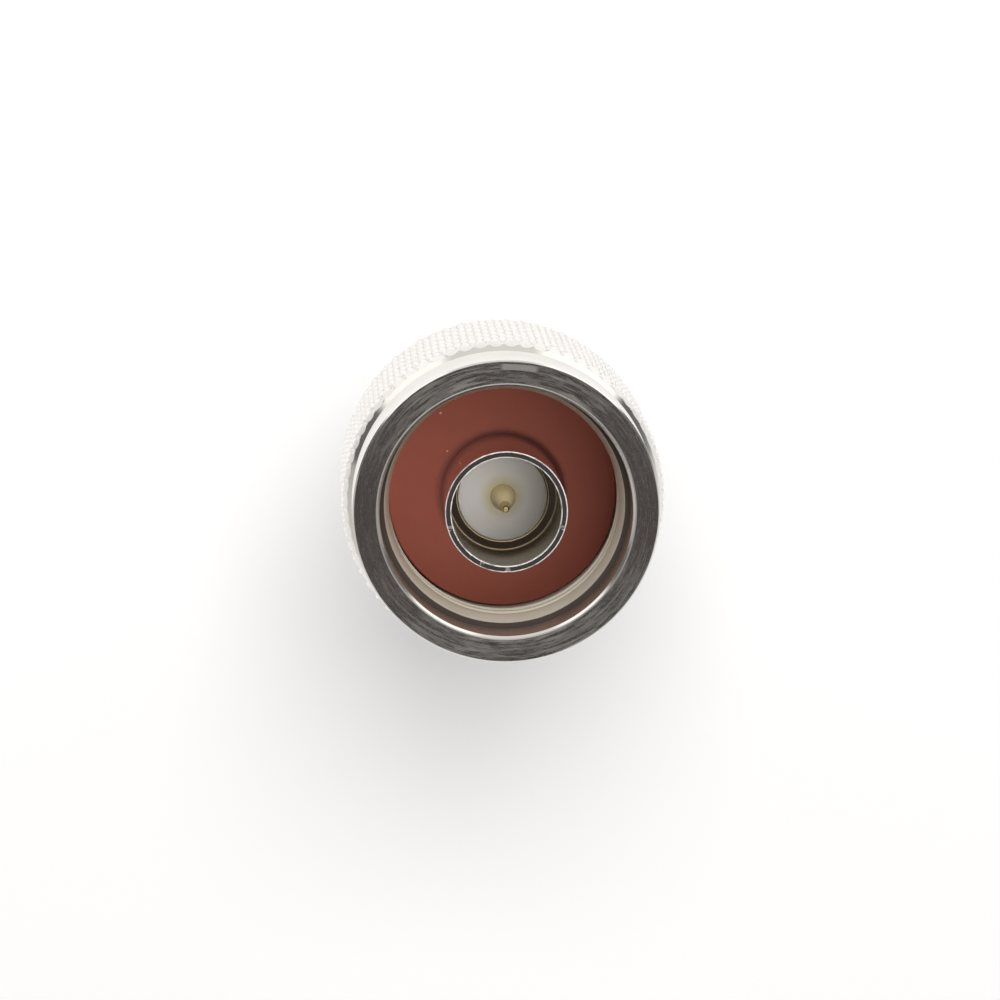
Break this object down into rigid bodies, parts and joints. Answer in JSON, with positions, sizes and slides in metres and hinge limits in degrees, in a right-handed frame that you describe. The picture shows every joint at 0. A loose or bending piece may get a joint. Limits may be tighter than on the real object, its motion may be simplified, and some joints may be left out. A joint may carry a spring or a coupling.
{
  "type": "coaxial cable plug",
  "caption": "Coaxial plug with a knurled threaded coupling nut, a pin inside a ring-shaped outer contact, a face gasket and a hexagonal cable clamp nut.",
  "frame": {"origin": "centre of the rear face of the clamp nut, which the plug stands on", "axes": "+Z along the axis of the plug, from the clamp nut towards the mating end; the two wrench flats on the body face +X and -X"},
  "size_m": [0.0214, 0.0214, 0.0367],
  "materials": {
    "bright_nickel": "bright nickel plating over turned brass",
    "satin_nickel": "nickel plating over turned brass, slightly dull",
    "gold_plate": "gold plating over turned brass",
    "spring_bronze": "bare phosphor bronze",
    "silicone": "matte red-brown silicone",
    "neoprene": "matte black rubber",
    "ptfe": "white fluoropolymer, faintly translucent"
  },
  "bodies": {
    "plug": {"plug_body": "satin_nickel", "face_gasket": "silicone", "retaining_ring": "spring_bronze", "centre_contact": "gold_plate", "front_insulator": "ptfe", "rear_insulator": "ptfe", "braid_clamp": "satin_nickel", "clamp_gasket": "neoprene", "clamp_washer": "satin_nickel", "clamp_nut": "bright_nickel"},
    "coupling": {"coupling_nut": "bright_nickel"}
  },
  "joints": [
    {"name": "coupling_turn", "type": "hinge", "parent": "plug", "child": "coupling", "pos_m": [0, 0, 0.0291], "axis": [0, 0, 1], "continuous": true}
  ]
}
